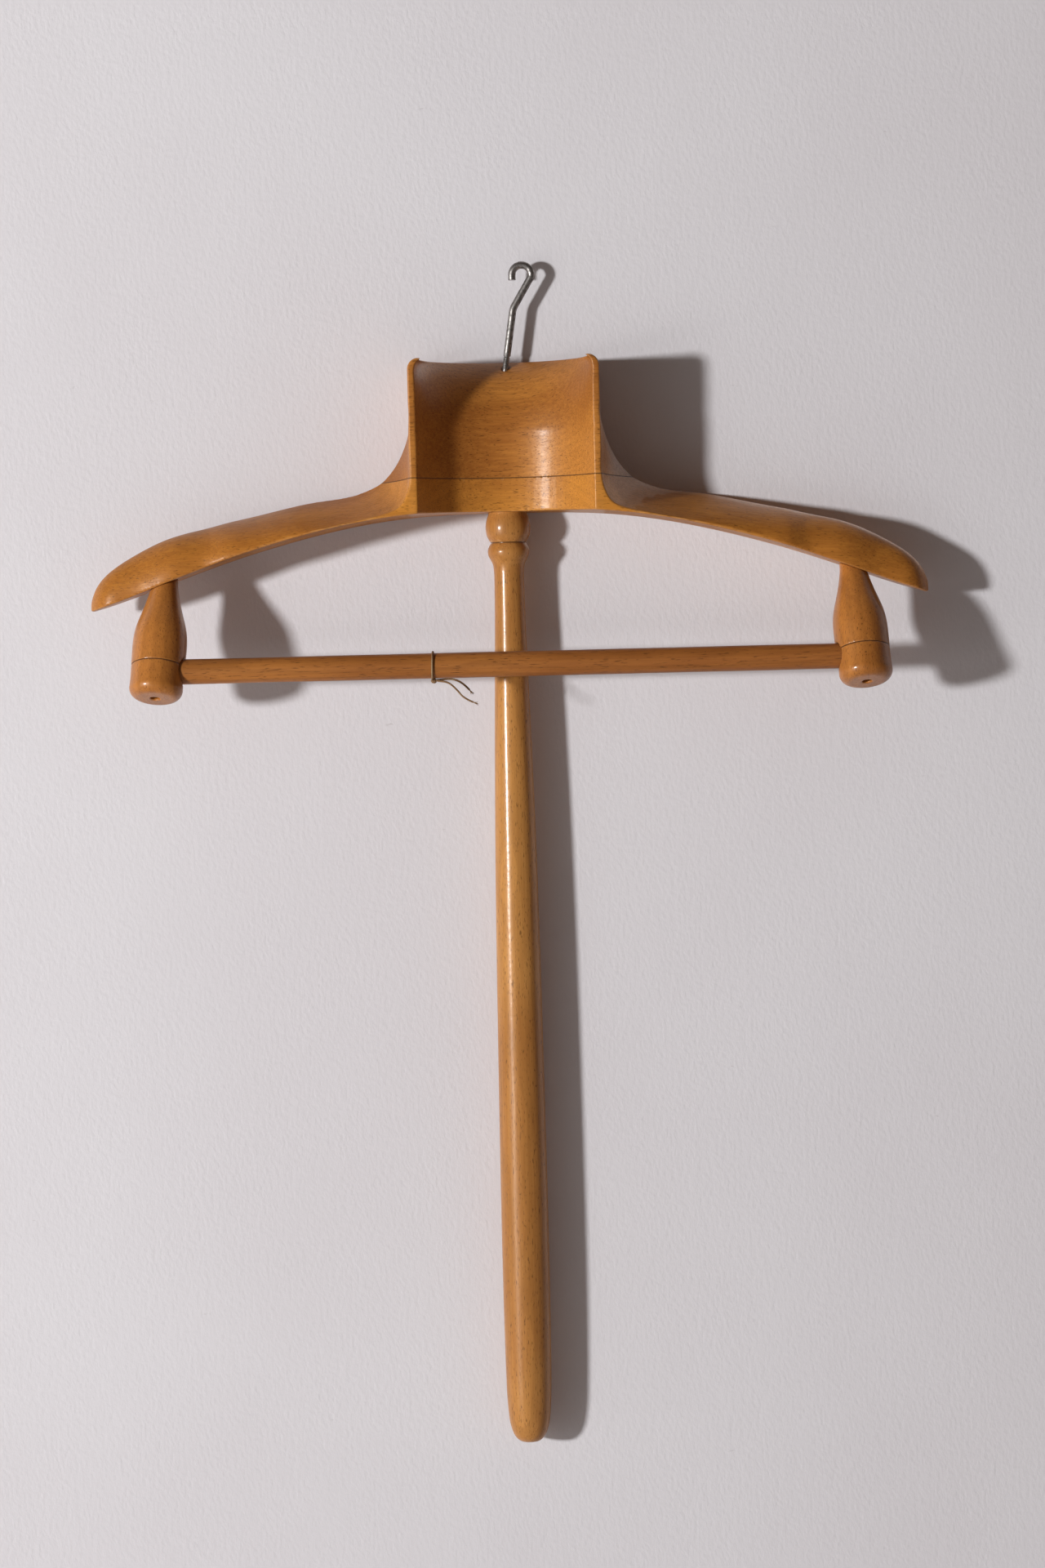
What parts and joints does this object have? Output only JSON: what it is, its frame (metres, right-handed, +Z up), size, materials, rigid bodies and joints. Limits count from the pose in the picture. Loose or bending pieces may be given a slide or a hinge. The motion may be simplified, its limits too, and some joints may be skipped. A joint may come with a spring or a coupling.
{
  "type": "wall valet hanger with trouser rail",
  "caption": "Wall-hung carved beech clothes valet: curved jacket hanger with a hollowed collar, a turned trouser rail on bottle-shaped posts, a long turned stem and a swivelling wire hook.",
  "frame": {"origin": "the hook's seat: the inside top of the hook's loop, where the valet hangs", "axes": "+Z up along the stem, +X to the viewer's right along the arms, +Y towards the wall"},
  "size_m": [0.45, 0.0735, 0.6404],
  "materials": {
    "carved_beech": "honey varnish, satin, with fine beech fleck",
    "turned_beech": "honey varnish, semi-gloss, grain along the turning",
    "rail_beech": "worn varnish, open pores",
    "bare_beech": "bare wood, hidden dowels",
    "hook_steel": "dull steel wire",
    "screw_steel": "dull steel",
    "twine": "thin twisted brown twine"
  },
  "bodies": {
    "frame": {"shoulder_beam": "carved_beech", "collar_block": "carved_beech", "collar_dowels": "bare_beech", "stem": "turned_beech", "left_post": "turned_beech", "right_post": "turned_beech", "left_post_cap": "turned_beech", "right_post_cap": "turned_beech", "left_cap_screw": "screw_steel", "right_cap_screw": "screw_steel"},
    "hook": {"hanging_hook": "hook_steel"},
    "rail": {"trouser_bar": "rail_beech", "tie_string": "twine"}
  },
  "joints": [
    {"name": "hook_turn", "type": "hinge", "parent": "frame", "child": "hook", "pos_m": [-0.00963, 0, -0.05155], "axis": [0.1513, 0, 0.9885], "continuous": true},
    {"name": "rail_roll", "type": "hinge", "parent": "frame", "child": "rail", "pos_m": [-0.01058, -0.04618, -0.2132], "axis": [1, 0, 0], "continuous": true}
  ]
}
